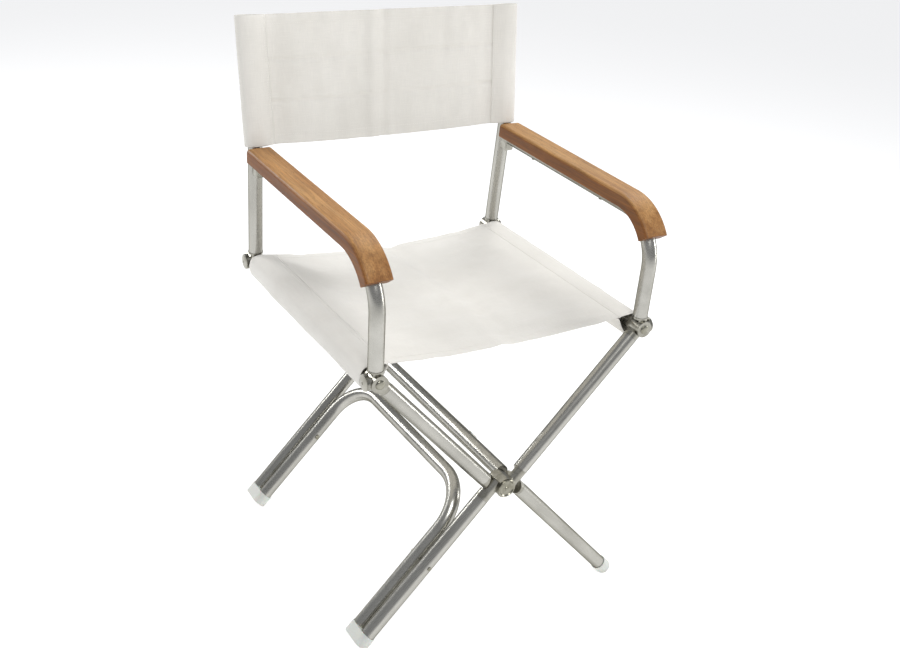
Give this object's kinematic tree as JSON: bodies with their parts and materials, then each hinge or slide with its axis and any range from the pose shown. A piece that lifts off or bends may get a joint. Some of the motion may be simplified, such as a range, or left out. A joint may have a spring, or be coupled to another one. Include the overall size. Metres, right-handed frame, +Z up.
{
  "type": "folding director chair",
  "caption": "Folding director chair with crossed tube legs, wooden armrests, and a slung fabric seat and back.",
  "frame": {"origin": "on the floor, under the middle of the chair's bounding box", "axes": "+Z up, the chair faces -Y, +X is to the right of somebody who looks at its front"},
  "size_m": [0.4846, 0.4754, 0.8297],
  "materials": {
    "tube": "satin anodised, drawn round tube",
    "casting": "smooth cast and tumbled, slightly darker than the tube",
    "steel": "stainless rivets, bolts and screws",
    "teak": "oiled, fine straight grain, rounded edges",
    "canvas": "off-white woven canvas with stitched sleeves and hems",
    "plastic": "pale moulded plastic"
  },
  "bodies": {
    "legs_A": {"brace_bolt_front": "steel", "brace_bolt_rear": "steel", "foot_cap_left_front": "plastic", "foot_cap_left_rear": "plastic", "hub_A_front": "casting", "hub_A_rear": "casting", "hub_pin_front": "steel", "hub_pin_rear": "steel", "leg_A_front_lower": "tube", "leg_A_front_upper": "tube", "leg_A_rear_lower": "tube", "leg_A_rear_upper": "tube", "leg_eye_A_front": "casting", "leg_eye_A_rear": "casting", "u_brace": "tube"},
    "legs_B": {"foot_cap_right_front": "plastic", "foot_cap_right_rear": "plastic", "hub_B_front": "casting", "hub_B_rear": "casting", "leg_B_front_lower": "tube", "leg_B_front_upper": "tube", "leg_B_rear_lower": "tube", "leg_B_rear_upper": "tube", "leg_eye_B_front": "casting", "leg_eye_B_rear": "casting", "stretcher": "tube"},
    "side_right": {"arm_bracket_right": "casting", "arm_tube_right": "tube", "armrest_right": "teak", "armrest_screw_right_1": "steel", "armrest_screw_right_2": "steel", "back_cloth": "canvas", "back_post_right": "tube", "boss_cap_right_front": "casting", "boss_cap_right_rear": "casting", "hinge_pin_right_front": "steel", "hinge_pin_right_rear": "steel", "post_fork_right_front": "casting", "post_fork_right_rear": "casting", "post_plug_right": "plastic", "seat_cloth": "canvas", "seat_rail_right": "tube"},
    "side_left": {"arm_bracket_left": "casting", "arm_tube_left": "tube", "armrest_left": "teak", "armrest_screw_left_1": "steel", "armrest_screw_left_2": "steel", "back_post_left": "tube", "boss_cap_left_front": "casting", "boss_cap_left_rear": "casting", "hinge_pin_left_front": "steel", "hinge_pin_left_rear": "steel", "post_fork_left_front": "casting", "post_fork_left_rear": "casting", "post_plug_left": "plastic", "seat_rail_left": "tube"}
  },
  "joints": [
    {"name": "fold", "type": "hinge", "parent": "legs_A", "child": "legs_B", "pos_m": [0, -0.0083, 0.229], "axis": [0, 1, 0], "range_deg": [0, 79], "deforming": ["seat_cloth", "back_cloth"]},
    {"name": "rail_right", "type": "hinge", "parent": "legs_A", "child": "side_right", "pos_m": [0.218, -0.0083, 0.448], "axis": [0, 1, 0], "range_deg": [0, 39.6]},
    {"name": "rail_left", "type": "hinge", "parent": "legs_B", "child": "side_left", "pos_m": [-0.218, -0.0083, 0.448], "axis": [0, 1, 0], "range_deg": [-39.6, 0]}
  ],
  "couplings": [
    {"joint": "rail_right", "follows": "fold", "ratio": 0.5},
    {"joint": "rail_left", "follows": "fold", "ratio": -0.5}
  ]
}
